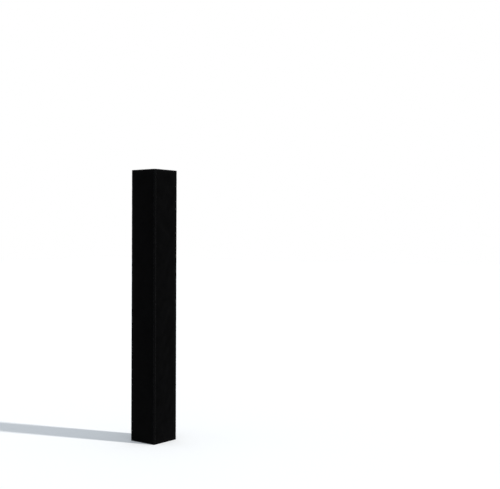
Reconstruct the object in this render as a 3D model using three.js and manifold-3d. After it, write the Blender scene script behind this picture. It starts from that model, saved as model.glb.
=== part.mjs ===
// A wrap-around safety pad for the square post of a basketball goal. Millimetres, +Z up.
//
// Five foam panels, each in its own sewn skin, go round the post: the front, the left and right sides, and
// two rear halves. Vinyl gussets at the four corners are the hinges, so the pad opens out flat. A flap with
// hook and loop tape closes the rear. The origin is on the post's axis in the plane of the pad's bottom
// edge, the front faces -Y and the closure faces +Y.

import * as THREE from 'three';
import { mergeVertices } from 'three/addons/utils/BufferGeometryUtils.js';
import Module from 'manifold-3d';

// The post that the pad goes round, and the pad's own size
const postSide = 250;
const postClearance = 0.5; // lining to post, on each side
const padHeight = 2550;
const panelThickness = 25; // outer face to post face of one panel, at its seams

// The sheets that the skins are cut from
const vinylThickness = 0.8; // outer cover, gussets, end strips and flap
const liningThickness = 0.8;
const sewnGap = 0.3; // between two sheets, or a sheet and the foam, that lie on each other

// The covers' crown between the seams
const crownHeight = 2.5;
const crownFade = 140; // length over which the crown dies away towards each end
const crownColumns = 12;
const crownFadeShares = [0, 0.12, 0.3, 0.6, 1];

// The corner gussets and the folds that they close
const cornerRadius = 6;
const gussetLeg = 16; // corner to stitch line
const foldGap = 0.6; // between the mitred sides of two panels
const arcSteps = 5;

// The closure at the rear
const closureGap = 6; // between the free edges of the two rear halves, so that they swing past each other
const hemWidth = 25; // the part of the flap that is stitched down
const hemSetback = 20; // closure line to the hem
const foldWidth = 8; // the part of the flap that bends
const flapReach = 75; // closure line to the flap's free edge
const flapEndMargin = 18; // the flap stops this far from the pad's ends
const tapeWidth = 50;
const tapeInset = 8; // flap's free edge to the tapes
const tapeEndMargin = 12; // the tapes stop this far from the flap's ends
const hookThickness = 1.6;
const loopThickness = 1.6;

// The metal vents in the rear halves, which let air out when the foam is hit
const ventHoleRadius = 4;
const ventBarrelThickness = 0.8;
const ventFlangeWidth = 4;
const ventFlangeThickness = 0.8;
const ventEndDistance = 110; // vent to the pad's end
const ventFlapDistance = 18; // the flap's free edge to the vents, which the other half mirrors
const ventPocketMargin = 1; // foam cut back around the vent
const ventSegments = 20;

const cutOverrun = 5; // cuts run past what they cut by this much
const mergeTolerance = 1e-4; // corners closer than this are one

// Sizes that follow from those above
const halfInner = postSide / 2 + postClearance;
const halfOuter = halfInner + panelThickness;
const skinDepth = vinylThickness + sewnGap; // outer face to the foam, and to what lies under a gusset
const flapLevel = 3 * sewnGap + loopThickness + hookThickness; // rear face to the flap's inner face
const tapeOuterEdge = flapReach - tapeInset;
const tapeInnerEdge = tapeOuterEdge - tapeWidth;

const wasm = await Module();
wasm.setup();

// A closed geometry as a manifold-3d solid.
function toSolid(geometry) {
  const bare = geometry.index ? geometry.toNonIndexed() : geometry.clone();
  bare.deleteAttribute('normal');
  bare.deleteAttribute('uv');
  const merged = mergeVertices(bare, mergeTolerance);
  return new wasm.Manifold(
    new wasm.Mesh({
      numProp: 3,
      vertProperties: merged.attributes.position.array,
      triVerts: new Uint32Array(merged.index.array),
    }),
  );
}

function toGeometry(solid) {
  const { vertProperties, triVerts } = solid.getMesh();
  const geometry = new THREE.BufferGeometry();
  geometry.setAttribute('position', new THREE.BufferAttribute(new Float32Array(vertProperties), 3));
  geometry.setIndex(new THREE.BufferAttribute(new Uint32Array(triVerts), 1));
  geometry.computeVertexNormals();
  return geometry;
}

const materials = {
  vinyl: new THREE.MeshStandardMaterial({ color: 0x0a0a0b, roughness: 0.5, metalness: 0 }),
  lining: new THREE.MeshStandardMaterial({ color: 0x121214, roughness: 0.75, metalness: 0 }),
  foam: new THREE.MeshStandardMaterial({ color: 0x3a3c40, roughness: 0.95, metalness: 0 }),
  tape: new THREE.MeshStandardMaterial({ color: 0x0d0d0e, roughness: 0.95, metalness: 0 }),
  vent: new THREE.MeshStandardMaterial({ color: 0x2a2b2d, roughness: 0.35, metalness: 1 }),
};

function piece(name, geometry, material) {
  const mesh = new THREE.Mesh(geometry, material);
  mesh.name = name;
  return mesh;
}

// Every panel is drawn as if it were the front one: x runs along its face, and depth runs from the plane of
// its outer face, which is y = -halfOuter, in towards the post. A group then turns it to its own side.
const planY = (depth) => depth - halfOuter;

function prism(outline, bottom, top) {
  const shape = new THREE.Shape(outline.map(([x, depth]) => new THREE.Vector2(x, planY(depth))));
  const geometry = new THREE.ExtrudeGeometry(shape, { depth: top - bottom, bevelEnabled: false });
  return geometry.translate(0, 0, bottom);
}

function slab(fromX, toX, fromDepth, toDepth, bottom, top) {
  const outline = [[fromX, fromDepth], [toX, fromDepth], [toX, toDepth], [fromX, toDepth]];
  return prism(outline, bottom, top);
}

// One edge of a panel. A folded edge is mitred and meets the next panel at the corner on that side; a free
// edge is square and stands at x. Side is +1 for the edge at greater x, -1 for the other.
const foldedEdge = (side) => ({ side, folded: true });
const freeEdge = (side, x) => ({ side, folded: false, x });

// The point under a gusset at this distance from the fold plane, on the arc that the gusset leaves free.
function underGusset(edge, wall) {
  const radius = cornerRadius - skinDepth;
  const along = Math.sqrt(radius ** 2 - wall ** 2) * Math.SQRT1_2;
  const across = wall * Math.SQRT1_2;
  const centre = halfOuter - cornerRadius;
  return [edge.side * (centre + along - across), cornerRadius - along - across];
}

// The point of the edge at this depth, set in by this much from the fold plane or the free edge.
function edgeAt(edge, wall, depth) {
  return edge.folded
    ? [edge.side * (halfOuter - depth - wall * Math.SQRT2), depth]
    : [edge.x - edge.side * wall, depth];
}

// The edge's outline from the outer face to the post side, with the rounding that a folded edge has.
function edgeOutline(edge, wall, backDepth) {
  if (!edge.folded) {
    return [edgeAt(edge, wall, skinDepth), edgeAt(edge, wall, backDepth)];
  }
  const points = [];
  const widest = (cornerRadius - skinDepth) * Math.SQRT1_2;
  for (let step = 0; step <= arcSteps; step++) {
    points.push(underGusset(edge, widest + ((wall - widest) * step) / arcSteps));
  }
  points.push(edgeAt(edge, wall, backDepth));
  return points;
}

// What fills a panel between its cover, its lining and its gussets: the foam's outline and the end strips'.
const fillWall = foldGap / 2 + liningThickness + sewnGap;
const freeWall = liningThickness + sewnGap;
const wallOf = (edge) => (edge.folded ? fillWall : freeWall);

function fillOutline({ low, high }) {
  const backDepth = panelThickness - liningThickness - sewnGap;
  return [
    ...edgeOutline(high, wallOf(high), backDepth),
    ...edgeOutline(low, wallOf(low), backDepth).reverse(),
  ];
}

// The lining is a tray: it lies on the post, and its sides go out along the folds to the cover.
function liningOutline({ low, high }) {
  const outerWall = (edge) => (edge.folded ? foldGap / 2 : 0);
  const tip = (edge, wall) => (edge.folded ? underGusset(edge, wall) : edgeAt(edge, wall, skinDepth));
  const side = (edge) => {
    const outer = outerWall(edge);
    const inner = outer + liningThickness;
    return {
      outer: [tip(edge, outer), edgeAt(edge, outer, panelThickness)],
      inner: [tip(edge, inner), edgeAt(edge, inner, panelThickness - liningThickness)],
    };
  };
  const right = side(high);
  const left = side(low);
  return [...right.outer, ...left.outer.reverse(), ...left.inner, ...right.inner.reverse()];
}

// How far a crowned face stands proud at x and z: a quartic across, dying away smoothly at both ends.
const coverEdge = halfOuter - gussetLeg - sewnGap;
function crown(x, z) {
  const across = 1 - (x / coverEdge) ** 4;
  const fromEnd = Math.min(z, padHeight - z, crownFade) / crownFade;
  return crownHeight * across * (1 - (1 - fromEnd) ** 2);
}

const crownRows = [
  ...crownFadeShares.map((share) => share * crownFade),
  ...crownFadeShares.map((share) => padHeight - share * crownFade).reverse(),
];

// A sheet over the face between two depths, whose two sides both follow the crown.
function crownedSheet(outerDepth, innerDepth) {
  const columns = crownColumns + 1;
  const rows = crownRows.length;
  const positions = [];
  for (const depth of [outerDepth, innerDepth]) {
    for (const z of crownRows) {
      for (let column = 0; column < columns; column++) {
        const x = coverEdge * ((2 * column) / crownColumns - 1);
        positions.push(x, planY(depth - crown(x, z)), z);
      }
    }
  }
  const index = [];
  const quad = (a, b, c, d) => index.push(a, b, c, a, c, d);
  const at = (layer, row, column) => (layer * rows + row) * columns + column;
  for (let row = 0; row < rows - 1; row++) {
    for (let column = 0; column < columns - 1; column++) {
      quad(at(0, row, column), at(0, row, column + 1), at(0, row + 1, column + 1), at(0, row + 1, column));
      quad(at(1, row, column), at(1, row + 1, column), at(1, row + 1, column + 1), at(1, row, column + 1));
    }
    const last = columns - 1;
    quad(at(0, row, 0), at(0, row + 1, 0), at(1, row + 1, 0), at(1, row, 0));
    quad(at(0, row, last), at(1, row, last), at(1, row + 1, last), at(0, row + 1, last));
  }
  for (let column = 0; column < columns - 1; column++) {
    const last = rows - 1;
    quad(at(0, 0, column), at(1, 0, column), at(1, 0, column + 1), at(0, 0, column + 1));
    quad(at(0, last, column), at(0, last, column + 1), at(1, last, column + 1), at(1, last, column));
  }
  const geometry = new THREE.BufferGeometry();
  geometry.setAttribute('position', new THREE.Float32BufferAttribute(positions, 3));
  geometry.setIndex(index);
  geometry.computeVertexNormals();
  return geometry;
}

const foamBottom = skinDepth;
const foamTop = padHeight - skinDepth;

// The pieces that every panel has.
function panelPieces(name, edges, cover, foam) {
  const fill = fillOutline(edges);
  return [
    piece(`${name}_foam`, foam, materials.foam),
    piece(`${name}_cover`, cover, materials.vinyl),
    piece(`${name}_lining`, prism(liningOutline(edges), 0, padHeight), materials.lining),
    piece(`${name}_bottom_end`, prism(fill, 0, vinylThickness), materials.vinyl),
    piece(`${name}_top_end`, prism(fill, padHeight - vinylThickness, padHeight), materials.vinyl),
  ];
}

// The front and side panels: full width, crowned.
function fullPanel(name) {
  const edges = { low: foldedEdge(-1), high: foldedEdge(1) };
  const flatFoam = toSolid(prism(fillOutline(edges), foamBottom, foamTop));
  const ends = toSolid(slab(-halfOuter, halfOuter, -panelThickness, panelThickness, foamBottom, foamTop));
  const swell = toSolid(crownedSheet(skinDepth, panelThickness / 2)).intersect(ends);
  const foam = toGeometry(flatFoam.add(swell));
  return panelPieces(name, edges, crownedSheet(0, vinylThickness), foam);
}

// A rear half: flat, with a vent near each end. Side is +1 for the half at greater x in its own drawing.
const ventHeights = { lower: ventEndDistance, upper: padHeight - ventEndDistance };
const ventX = flapReach + ventFlapDistance;
const ventBarrelRadius = ventHoleRadius + ventBarrelThickness;
const ventFlangeRadius = ventHoleRadius + ventFlangeWidth;
const ventBackDepth = skinDepth + ventFlangeThickness;

// A round plug along the depth direction, for a cut.
function plug(radius, x, z, fromDepth, toDepth) {
  const geometry = new THREE.CylinderGeometry(radius, radius, toDepth - fromDepth, ventSegments);
  return toSolid(geometry.translate(x, planY((fromDepth + toDepth) / 2), z));
}

// A clinched eyelet: a barrel through the cover, with a flange outside it and one behind it.
function vent(x, z) {
  const profile = [
    [ventHoleRadius, ventBackDepth],
    [ventHoleRadius, -sewnGap - ventFlangeThickness],
    [ventFlangeRadius - ventFlangeThickness / 2, -sewnGap - ventFlangeThickness],
    [ventFlangeRadius, -sewnGap],
    [ventBarrelRadius, -sewnGap],
    [ventBarrelRadius, skinDepth],
    [ventFlangeRadius, skinDepth],
    [ventFlangeRadius, ventBackDepth],
    [ventHoleRadius, ventBackDepth],
  ];
  const points = profile.map(([radius, depth]) => new THREE.Vector2(radius, depth));
  return new THREE.LatheGeometry(points, ventSegments).translate(x, planY(0), z);
}

function rearHalf(name, side) {
  const free = freeEdge(-side, (side * closureGap) / 2);
  const edges = side > 0 ? { low: free, high: foldedEdge(1) } : { low: foldedEdge(-1), high: free };
  const coverSpan = [(side * closureGap) / 2, side * coverEdge].sort((a, b) => a - b);
  let cover = toSolid(slab(...coverSpan, 0, vinylThickness, 0, padHeight));
  let foam = toSolid(prism(fillOutline(edges), foamBottom, foamTop));
  const pieces = [];
  for (const [place, z] of Object.entries(ventHeights)) {
    const x = side * ventX;
    cover = cover.subtract(plug(ventBarrelRadius + sewnGap, x, z, -cutOverrun, cutOverrun));
    foam = foam.subtract(
      plug(ventFlangeRadius + ventPocketMargin, x, z, 0, ventBackDepth + ventPocketMargin),
    );
    pieces.push(piece(`${name}_${place}_vent`, vent(x, z), materials.vent));
  }
  return [...panelPieces(name, edges, toGeometry(cover), toGeometry(foam)), ...pieces];
}

// A gusset goes round a corner from one stitch line to the next, and is the hinge between two panels.
function gusset(name, side) {
  const legEnd = halfOuter - gussetLeg;
  const centre = halfOuter - cornerRadius;
  const legDepth = gussetLeg;
  const arc = (radius, step) => {
    const angle = ((Math.PI / 2) * step) / arcSteps;
    return [centre + radius * Math.sin(angle), cornerRadius - radius * Math.cos(angle)];
  };
  const steps = Array.from({ length: arcSteps + 1 }, (_, step) => step);
  const outer = [[legEnd, 0], ...steps.map((step) => arc(cornerRadius, step)), [halfOuter, legDepth]];
  const inner = [
    [legEnd, vinylThickness],
    ...steps.map((step) => arc(cornerRadius - vinylThickness, step)),
    [halfOuter - vinylThickness, legDepth],
  ];
  const outline = [...outer, ...inner.reverse()].map(([x, depth]) => [side * x, depth]);
  return piece(name, prism(outline, 0, padHeight), materials.vinyl);
}

// The closure, drawn on the rear face: the flap is sewn to the half at greater x, and its free edge points
// to lower x. A negative depth stands proud of the face.
function closure() {
  const bottom = flapEndMargin;
  const top = padHeight - flapEndMargin;
  const tapeBottom = bottom + tapeEndMargin;
  const tapeTop = top - tapeEndMargin;
  const hem = slab(hemSetback, hemSetback + hemWidth, -skinDepth, -sewnGap, bottom, top);
  const foldEnd = hemSetback - foldWidth;
  const fold = slab(foldEnd + sewnGap, hemSetback - sewnGap, -skinDepth, -sewnGap, bottom, top);
  const rampEnd = tapeInset - tapeInnerEdge;
  const flapOutline = [
    [foldEnd, -sewnGap],
    [foldEnd, -skinDepth],
    [rampEnd, -flapLevel - vinylThickness],
    [-flapReach, -flapLevel - vinylThickness],
    [-flapReach, -flapLevel],
    [rampEnd, -flapLevel],
  ];
  const loopFace = sewnGap + loopThickness;
  const hookFace = loopFace + sewnGap;
  const tape = (fromDepth, toDepth) =>
    slab(-tapeOuterEdge, -tapeInnerEdge, -toDepth, -fromDepth, tapeBottom, tapeTop);
  return [
    piece('flap_hem', hem, materials.vinyl),
    piece('flap_fold', fold, materials.vinyl),
    piece('closure_flap', prism(flapOutline, bottom, top), materials.vinyl),
    piece('loop_tape', tape(sewnGap, loopFace), materials.tape),
    piece('hook_tape', tape(hookFace, hookFace + hookThickness), materials.tape),
  ];
}

// Everything on one side of the post, turned from the front to where it goes.
function sideGroup(quarterTurns, pieces) {
  const group = new THREE.Group();
  group.rotation.z = (quarterTurns * Math.PI) / 2;
  group.add(...pieces);
  return group;
}

const pad = new THREE.Group();
pad.add(
  sideGroup(0, [
    ...fullPanel('front'),
    gusset('front_left_gusset', -1),
    gusset('front_right_gusset', 1),
  ]),
  sideGroup(1, fullPanel('right')),
  sideGroup(3, fullPanel('left')),
  sideGroup(2, [
    ...rearHalf('rear_left', 1),
    ...rearHalf('rear_right', -1),
    gusset('rear_left_gusset', 1),
    gusset('rear_right_gusset', -1),
    ...closure(),
  ]),
);

export default pad;
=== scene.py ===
import math

import bpy
import numpy as np
from mathutils import Matrix, Vector


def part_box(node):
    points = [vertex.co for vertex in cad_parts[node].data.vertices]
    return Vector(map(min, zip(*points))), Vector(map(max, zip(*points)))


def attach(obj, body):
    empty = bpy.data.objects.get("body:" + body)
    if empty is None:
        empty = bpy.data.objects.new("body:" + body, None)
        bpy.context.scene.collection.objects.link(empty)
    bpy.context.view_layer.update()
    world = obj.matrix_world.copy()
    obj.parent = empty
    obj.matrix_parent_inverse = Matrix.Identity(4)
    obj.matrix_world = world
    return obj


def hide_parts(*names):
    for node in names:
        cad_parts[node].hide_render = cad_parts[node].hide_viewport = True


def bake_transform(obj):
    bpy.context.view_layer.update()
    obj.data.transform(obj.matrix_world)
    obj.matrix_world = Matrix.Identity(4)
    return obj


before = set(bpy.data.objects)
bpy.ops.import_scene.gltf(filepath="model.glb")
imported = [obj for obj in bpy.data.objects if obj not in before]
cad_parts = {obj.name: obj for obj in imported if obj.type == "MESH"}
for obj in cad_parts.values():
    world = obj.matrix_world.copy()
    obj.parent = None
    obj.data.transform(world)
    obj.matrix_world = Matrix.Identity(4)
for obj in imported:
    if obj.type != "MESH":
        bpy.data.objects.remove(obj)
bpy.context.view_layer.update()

# A black wrap-around safety pad for a square post: five foam panels in sewn vinyl covers, vinyl corner
# folds, woven linings, and a rear flap on hook and loop tape. Metres, with the front facing -Y.

# Camera and stage

cameraView = {
    "position": (-6.212, -5.882, 1.895),
    "yaw": 52.638,  # degrees from +Y towards +X
    "pitch": -0.281,
    "roll": 0.21,
    "optics": {"lens": 64.8, "sensor_width": 36.0, "clip_end": 200.0},
}


def setAll(item, values):
    for name, value in values.items():
        setattr(item, name, value)


def addObject(name, data):
    item = bpy.data.objects.new(name, data)
    bpy.context.scene.collection.objects.link(item)
    return item


# The camera turns by yaw about the vertical, tips by pitch from level, and rolls about its own axis.
def addCamera(view):
    camera = addObject("camera", bpy.data.cameras.new("camera"))
    setAll(camera.data, view["optics"])
    turn = Matrix.Translation(view["position"])
    for degrees, axis in ((-view["yaw"], "Z"), (90 + view["pitch"], "X"), (view["roll"], "Z")):
        turn = turn @ Matrix.Rotation(math.radians(degrees), 4, axis)
    camera.matrix_world = turn
    bpy.context.scene.camera = camera


addCamera(cameraView)
print("camera placed")


# Each named input of a node: linked where the value is another node's socket, and otherwise set.
def fillInputs(tree, node, inputs):
    for name, value in inputs.items():
        if isinstance(value, bpy.types.NodeSocket):
            tree.links.new(value, node.inputs[name])
        else:
            node.inputs[name].default_value = value


def addNode(tree, kind, inputs, **properties):
    node = tree.nodes.new("ShaderNode" + kind)
    setAll(node, properties)
    fillInputs(tree, node, inputs)
    return node


def maths(tree, operation, first, second):
    return addNode(tree, "Math", {0: first, 1: second}, operation=operation).outputs[0]


def times(tree, first, second):
    return maths(tree, "MULTIPLY", first, second)


def plus(tree, first, second):
    return maths(tree, "ADD", first, second)


# A value taken from one range to another, held at the ends.
def ranged(tree, value, fromLow, fromHigh, toLow=0.0, toHigh=1.0):
    ends = {"From Min": fromLow, "From Max": fromHigh, "To Min": toLow, "To Max": toHigh}
    return addNode(tree, "MapRange", {"Value": value, **ends}).outputs["Result"]


# Two colours mixed by a factor.
def mixed(tree, factor, first, second):
    return addNode(tree, "Mix", {0: factor, 6: first, 7: second}, data_type="RGBA").outputs[2]


def noise(tree, place, scale, detail=2.0, roughness=0.5):
    inputs = {"Vector": place, "Scale": scale, "Detail": detail, "Roughness": roughness}
    return addNode(tree, "TexNoise", inputs).outputs[0]


def cells(tree, place, scale, randomness=1.0, feature="F1"):
    inputs = {"Vector": place, "Scale": scale, "Randomness": randomness}
    return addNode(tree, "TexVoronoi", inputs, feature=feature).outputs["Distance"]


# A sine band across one axis with this pitch: Blender's wave turns once in pi / 10 of its scaled unit.
def bands(tree, place, pitch, axis, distortion=0.0):
    inputs = {"Vector": place, "Scale": math.pi / (10 * pitch), "Distortion": distortion, "Detail": 1.0}
    look = {"wave_type": "BANDS", "bands_direction": axis, "wave_profile": "SIN"}
    return addNode(tree, "TexWave", inputs, **look).outputs["Fac"]


# A plain weave, as the product of bands both ways: 1 at a crossing and 0 in a hole.
def weave(tree, place, pitch, distortion=0.0):
    return times(tree, *(bands(tree, place, pitch, axis, distortion) for axis in "XZ"))


# The vector that a pattern reads: the piece's own cloth coordinates.
def clothPlace(tree):
    return addNode(tree, "Attribute", {}, attribute_name="cloth").outputs["Vector"]


def wornShare(tree):
    return addNode(tree, "Attribute", {}, attribute_name="wear").outputs["Fac"]


def grey(level, blue=1.0):
    return (level, level, level * blue, 1.0)


def newMaterial(name):
    material = bpy.data.materials.new(name)
    material.use_nodes = True
    return material, material.node_tree


# 1 for the rays that see the backdrop: the camera's, a mirror's and those through glass.
def backdropRay(tree):
    ray = addNode(tree, "LightPath", {}).outputs
    either = maths(tree, "MAXIMUM", ray["Is Camera Ray"], ray["Is Glossy Ray"])
    return maths(tree, "MAXIMUM", either, ray["Is Transmission Ray"])


# The tree's output gets the plain shader, and for the backdrop's rays the other one.
def showToBackdrop(tree, output, plain, seen):
    shown = addNode(tree, "MixShader", {0: backdropRay(tree), 1: plain.outputs[0], 2: seen.outputs[0]})
    tree.links.new(shown.outputs[0], tree.nodes[output].inputs["Surface"])


stageSetup = {
    "floorReach": 60.0,
    "floor": {"Base Color": grey(0.93), "Roughness": 0.9, "Specular IOR Level": 0.1},
    "floorLift": 0.11,  # an even glow, so that the lit floor is as white as the backdrop
    "ambient": {"Color": (0.82, 0.91, 1.0, 1.0), "Strength": 0.55},
    "sunFrom": (0.3, -0.954),  # the horizontal direction that the sun stands in
    "sunHeight": 38.0,  # degrees above the horizon
    "sun": {"energy": 2.6, "angle": math.radians(2.5), "color": (1.0, 0.97, 0.93)},
}


# The floor is one square of this reach each way at z = 0: pale under the lamps, and lifted for the rays
# that see the backdrop by an even glow, which leaves the shadow.
def addFloor(setup):
    reach = setup["floorReach"]
    mesh = bpy.data.meshes.new("floor")
    corners = [(x * reach, y * reach, 0) for x, y in ((-1, -1), (1, -1), (1, 1), (-1, 1))]
    mesh.from_pydata(corners, [], [(0, 1, 2, 3)])
    material, tree = newMaterial("pale_floor")
    shader = tree.nodes["Principled BSDF"]
    fillInputs(tree, shader, setup["floor"])
    glow = addNode(tree, "Emission", {"Color": grey(1.0), "Strength": setup["floorLift"]})
    both = addNode(tree, "AddShader", {0: shader.outputs[0], 1: glow.outputs[0]})
    showToBackdrop(tree, "Material Output", shader, both)
    mesh.materials.append(material)
    addObject("floor", mesh)


# The world is white to the backdrop's rays, and a softer blue white to the rest.
def addWorld(setup):
    world = bpy.data.worlds.new("studio")
    bpy.context.scene.world = world
    world.use_nodes = True
    tree = world.node_tree
    seen = tree.nodes["Background"]
    fillInputs(tree, seen, {"Color": grey(1.0), "Strength": 1.0})
    showToBackdrop(tree, "World Output", addNode(tree, "Background", setup["ambient"]), seen)


def addSun(setup):
    light = bpy.data.lights.new("sun", "SUN")
    setAll(light, setup["sun"])
    toSun = Vector((*setup["sunFrom"], 0)).normalized()
    toSun.z = math.tan(math.radians(setup["sunHeight"]))
    sun = addObject("sun", light)
    sun.rotation_mode = "QUATERNION"
    sun.rotation_quaternion = toSun.to_track_quat("Z", "Y")


addFloor(stageSetup)
addWorld(stageSetup)
addSun(stageSetup)
bpy.context.scene.view_settings.view_transform = "Standard"
print("stage lit")

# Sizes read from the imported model

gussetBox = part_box("front_left_gusset")
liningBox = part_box("front_lining")
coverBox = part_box("front_cover")
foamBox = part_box("front_foam")
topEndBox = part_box("front_top_end")
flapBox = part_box("closure_flap")
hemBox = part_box("flap_hem")
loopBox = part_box("loop_tape")
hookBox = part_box("hook_tape")
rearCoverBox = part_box("rear_left_cover")
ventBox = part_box("rear_left_lower_vent")

mm = 0.001
padHeight = gussetBox[1].z
halfOuter = -gussetBox[0].x  # post's axis to the plane of the outer face
backDepth = halfOuter + liningBox[1].y  # outer face to the post side
foamBackDepth = halfOuter + foamBox[1].y
coverEdge = coverBox[1].x
crownHeight = -halfOuter - coverBox[0].y
legWidth = gussetBox[1].x - gussetBox[0].x
skinDepth = foamBox[0].z
vinyl = padHeight - topEndBox[0].z
freeEdge = -rearCoverBox[1].x  # post's centre plane to a rear half's free edge

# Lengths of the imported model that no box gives
cornerRadius = 6 * mm
foldWall = 0.3 * mm  # fold plane to the lining
liningThickness = 0.8 * mm
fillWall = foldWall + liningThickness + 0.3 * mm  # fold plane to the foam
crownFade = 140 * mm

# The panels: quarter turns from the front, the sides that are folds (the others are free), and a seed
panels = {
    "front": {"turns": 0, "folds": (-1, 1), "seed": 11},
    "right": {"turns": 1, "folds": (-1, 1), "seed": 23},
    "left": {"turns": 3, "folds": (-1, 1), "seed": 37},
    "rear_left": {"turns": 2, "folds": (1,), "seed": 41},
    "rear_right": {"turns": 2, "folds": (-1,), "seed": 53},
}


# From 0 to 1 with level ends: 3t^2 - 2t^3 of the clipped value.
def smooth(t):
    t = np.clip(t, 0, 1)
    return t * t * (3 - 2 * t)


# From the first value to the second by this share.
def between(first, second, share):
    return first + (second - first) * share


# A bell of height 1 at zero that falls off over this reach.
def bell(distance, reach):
    return np.exp(-((distance / reach) ** 2))


# An exponential of height 1 at zero that falls off over this reach.
def fading(distance, reach):
    return np.exp(-np.clip(distance, 0, None) / reach)


def fromEnds(z):
    return np.minimum(z, padHeight - z)


# A smooth random surface of spread 1: sine waves of random heading, length and phase, added up.
def softNoise(x, z, seed, shortest, longest, waves=20):
    random = np.random.default_rng(seed)
    length = random.uniform(shortest, longest, waves)
    heading = random.uniform(0, 2 * np.pi, waves)
    phase = random.uniform(0, 2 * np.pi, waves)
    x, z = np.broadcast_arrays(x, z)
    along = x[..., None] * np.cos(heading) + z[..., None] * np.sin(heading)
    return np.sin(2 * np.pi * along / length + phase).sum(-1) / math.sqrt(waves / 2)


# Numbers from low to high, closer together near both: even steps mixed with a cosine's.
def closerAtEnds(low, high, count, cosine=0.45):
    t = np.linspace(0, 1, count)
    return between(low, high, between(t, 0.5 - 0.5 * np.cos(np.pi * t), cosine))


# Points turned about the post's axis by quarter turns, each of which takes (x, y) to (-y, x).
def turned(points, turns):
    for _ in range(turns % 4):
        points = points[..., [1, 0, 2]] * (-1, 1, 1)
    return points


toFace = np.array([0, halfOuter, 0])


# Points of the front panel's drawing, which has x across, depth in from the outer face and z up, on their
# own panel.
def placed(points, turns):
    return turned(points - toFace, turns)


# Points whose coordinates are these values, each spread over one common grid.
def gridPoints(*coordinates):
    return np.stack(np.broadcast_arrays(*coordinates), -1)


# Each cell of a grid of vertex numbers as a quad that turns from column to row.
def gridQuads(index):
    return np.stack([index[:-1, :-1], index[:-1, 1:], index[1:, 1:], index[1:, :-1]], -1).reshape(-1, 4)


# The vertex numbers of a grid of points, from this one on.
def numbered(grid, start=0):
    rows, columns = grid.shape[:2]
    return start + np.arange(rows * columns).reshape(rows, columns)


# The grid with its first column again after its last, for a form that closes on itself.
def closedRound(index):
    return np.concatenate([index, index[:, :1]], 1)


# The points and faces of a form of rings, with a fan of triangles from each end ring to its pole.
def cappedRings(rings, poles):
    index = numbered(rings)
    following = np.roll(index, -1, 1)
    first, last = np.full_like(index[0], index.size), np.full_like(index[0], index.size + 1)
    fans = [(following[0], index[0], first), (index[-1], following[-1], last)]
    faces = [gridQuads(closedRound(index)), np.concatenate([np.stack(fan, 1) for fan in fans])]
    return np.concatenate([rings.reshape(-1, 3), poles]), faces


# A mesh object from points and groups of faces, each group an array of vertex numbers.
def newPiece(name, points, faces, materials, sharpAngle=38):
    mesh = bpy.data.meshes.new(name)
    mesh.vertices.add(points.size // 3)
    mesh.vertices.foreach_set("co", points.astype(np.float32).ravel())
    corners = np.concatenate([group.ravel() for group in faces]).astype(np.int32)
    sizes = np.concatenate([np.full(len(group), group.shape[1]) for group in faces])
    mesh.loops.add(len(corners))
    mesh.loops.foreach_set("vertex_index", corners)
    mesh.polygons.add(len(sizes))
    mesh.polygons.foreach_set("loop_start", (np.cumsum(sizes) - sizes).astype(np.int32))
    mesh.update(calc_edges=True)
    mesh.validate()
    mesh.shade_smooth()
    mesh.set_sharp_from_angle(angle=math.radians(sharpAngle))
    for material in materials:
        mesh.materials.append(material)
    return addObject(name, mesh)


def meshPoints(mesh):
    points = np.empty(len(mesh.vertices) * 3, np.float32)
    mesh.vertices.foreach_get("co", points)
    return points.reshape(-1, 3).astype(float)


# The piece's own coordinates along its cloth, and its wear from 0 to 1, both kept on its vertices.
def setSurface(piece, cloth, wear):
    kept = {"cloth": ("FLOAT_VECTOR", "vector", cloth), "wear": ("FLOAT", "value", wear)}
    for name, (kind, key, values) in kept.items():
        data = piece.data.attributes.new(name, kind, "POINT").data
        data.foreach_set(key, np.ascontiguousarray(values, np.float32).ravel())


# A closed sheet between two sides, each of them x, depth and z over one grid in a panel's drawing. The
# first side faces along column cross row. The cloth's own coordinates run across and up.
def thinSheet(name, turns, sides, material, across, up, wear):
    first, second = (placed(gridPoints(*side), turns) for side in sides)
    top = numbered(first)
    under = top + top.size
    around = closedRound(np.concatenate([top, under[:, ::-1]], 1))
    ends = np.stack([top[-1], under[-1]]), np.stack([under[0], top[0]])
    faces = [gridQuads(index) for index in (around, *ends)]
    piece = newPiece(name, np.stack([first, second]), faces, [material])
    cloth = np.broadcast_to(gridPoints(across, 0.0, up), first.shape)
    wear = np.broadcast_to(wear, top.shape)
    setSurface(piece, np.stack([cloth, cloth]), np.stack([wear, wear]))
    return piece


# The patch inside four boundary curves: opposite curves mixed both ways, less the mix of the corners.
def fillPatch(front, back, low, high):
    u = np.linspace(0, 1, front.shape[0])[None, :, None]
    v = np.linspace(0, 1, low.shape[0])[:, None, None]
    corners = between(between(front[0], back[0], v), between(front[-1], back[-1], v), u)
    return between(front[None], back[None], v) + between(low[:, None], high[:, None], u) - corners


# Lengths along a path of points, from its start.
def pathLength(path):
    steps = np.linalg.norm(np.diff(path, axis=0), axis=1)
    return np.concatenate([[0], np.cumsum(steps)])


# The unit vectors square to a path's tangents, both in x and depth: (x, depth) is turned to (depth, -x).
def squareTo(tangent):
    tangent = tangent / np.linalg.norm(tangent, axis=-1, keepdims=True)
    return np.stack([tangent[..., 1], -tangent[..., 0]], -1)


# Materials. A finish gives a noise by its scale, detail and roughness, a bump by its depth and strength,
# and what is the same all over the surface by the shader's own sockets.


# Fills the material's shader, with bumps of height, depth and strength laid over each other in turn.
def finishMaterial(material, finish, colour, roughness, bumps):
    tree = material.node_tree
    normal = {}
    for height, depth, strength in bumps:
        bump = addNode(tree, "Bump", {"Height": height, "Distance": depth, "Strength": strength, **normal})
        normal = {"Normal": bump.outputs[0]}
    inputs = {"Base Color": colour, "Roughness": roughness, **finish["sockets"], **normal}
    fillInputs(tree, tree.nodes["Principled BSDF"], inputs)
    return material


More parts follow.
